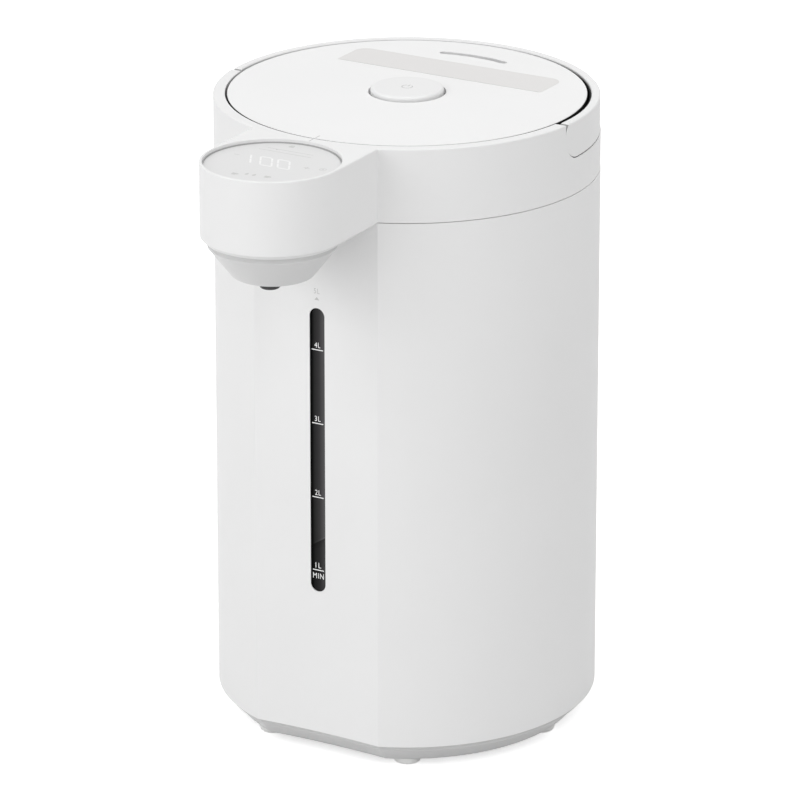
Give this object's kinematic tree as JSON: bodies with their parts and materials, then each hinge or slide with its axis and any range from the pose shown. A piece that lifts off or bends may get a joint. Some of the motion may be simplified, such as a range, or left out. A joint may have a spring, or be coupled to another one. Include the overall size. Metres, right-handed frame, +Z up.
{
  "type": "electric thermo pot",
  "caption": "Insulated electric water boiler with a cantilevered dispensing head, level window, lift-off lid with push button, carrying bow and round touch display.",
  "frame": {"origin": "on the floor under the middle of the whole outline, head included", "axes": "+Z up, -Y towards the dispensing head and the user, +X to the right seen from the front"},
  "size_m": [0.2068, 0.2792, 0.3519],
  "materials": {
    "shell_white": "matt white polypropylene",
    "frame_white": "matt white ABS",
    "handle_white": "matt white ABS",
    "lid_white": "matt white ABS",
    "button_white": "matt white ABS",
    "base_grey": "matt light grey",
    "cover_grey": "matt grey-white",
    "cowl_grey": "matt light grey",
    "foot_pale": "pale silicone",
    "spout_black": "black",
    "display_grey": "pale satin disc",
    "window_smoke": "smoked, near black",
    "black_plastic": "black",
    "clear_tube": "clear",
    "circuit_board": "green laminate",
    "steel": "drawn stainless steel",
    "screw_steel": "zinc-plated or spring steel",
    "bush_nylon": "natural nylon",
    "silicone": "translucent silicone",
    "felt": "grey felt",
    "heater_alloy": "cast",
    "cutout_ceramic": "cream ceramic",
    "inner_plastic": "natural polypropylene",
    "motor_can": "plated can",
    "contact_brass": "plated",
    "latch_nylon": "natural acetal",
    "trim_black": "black elastomer"
  },
  "bodies": {
    "pot": {"outer_shell": "shell_white", "top_frame": "frame_white", "base_tray": "base_grey", "head_cover": "cover_grey", "nozzle_cowl": "cowl_grey", "feet": "foot_pale", "nozzle": "spout_black", "display_lens": "display_grey", "gauge_window": "window_smoke", "gauge_holder": "black_plastic", "gauge_tube": "clear_tube", "display_board": "circuit_board", "control_board": "circuit_board", "inner_pot": "steel", "pot_clamps": "steel", "clamp_screws": "screw_steel", "base_screws": "screw_steel", "handle_bushes": "bush_nylon", "pot_seal": "silicone", "inlet_hose": "silicone", "gauge_elbow": "silicone", "riser_elbow": "silicone", "outlet_elbow": "silicone", "insulation_jacket": "felt", "heater_plate": "heater_alloy", "temp_sensor": "steel", "thermal_cutouts": "cutout_ceramic", "pump_housing": "inner_plastic", "pump_motor": "motor_can", "stop_valve": "inner_plastic", "power_inlet": "black_plastic", "inlet_contacts": "contact_brass", "board_carrier": "inner_plastic", "lens_ring": "trim_black", "pocket_lining": "trim_black"},
    "handle": {"handle": "handle_white", "handle_pins": "screw_steel"},
    "lid": {"lid_top": "lid_white", "lid_trim": "trim_black", "lid_base": "inner_plastic", "lid_gasket": "silicone", "lid_liner": "steel", "vent_cap": "inner_plastic", "steam_duct": "black_plastic", "lid_screws": "screw_steel", "button_spring": "screw_steel"},
    "button": {"lid_button": "button_white"},
    "latch_left": {"latch_left": "latch_nylon"},
    "latch_right": {"latch_right": "latch_nylon"},
    "impeller": {"pump_impeller": "inner_plastic"},
    "vent_ball": {"vent_ball": "steel"}
  },
  "joints": [
    {"name": "handle_swing", "type": "hinge", "parent": "pot", "child": "handle", "pos_m": [0, 0.03617, 0.34113], "axis": [1, 0, 0], "range_deg": [0, 105]},
    {"name": "lid_lift", "type": "slide", "parent": "pot", "child": "lid", "axis": [0, 0, 1], "range_m": [0, 0.15]},
    {"name": "button_press", "type": "slide", "parent": "lid", "child": "button", "axis": [0, 0, -1], "range_m": [0, 0.0025], "stiffness_N_per_m": 800, "springref_m": -0.002, "deforming": ["button_spring"]},
    {"name": "latch_left_slide", "type": "slide", "parent": "lid", "child": "latch_left", "axis": [0.9659, 0.2588, 0], "range_m": [0, 0.0025]},
    {"name": "latch_right_slide", "type": "slide", "parent": "lid", "child": "latch_right", "axis": [-0.9659, 0.2588, 0], "range_m": [0, 0.0025]},
    {"name": "impeller_spin", "type": "hinge", "parent": "pot", "child": "impeller", "pos_m": [-0.0137, -0.01582, 0.041], "axis": [0, 0, 1], "continuous": true},
    {"name": "vent_ball_lift", "type": "slide", "parent": "lid", "child": "vent_ball", "axis": [0, 0, 1], "range_m": [0, 0.002]}
  ],
  "couplings": [
    {"joint": "latch_left_slide", "follows": "button_press", "ratio": 1},
    {"joint": "latch_right_slide", "follows": "button_press", "ratio": 1}
  ]
}
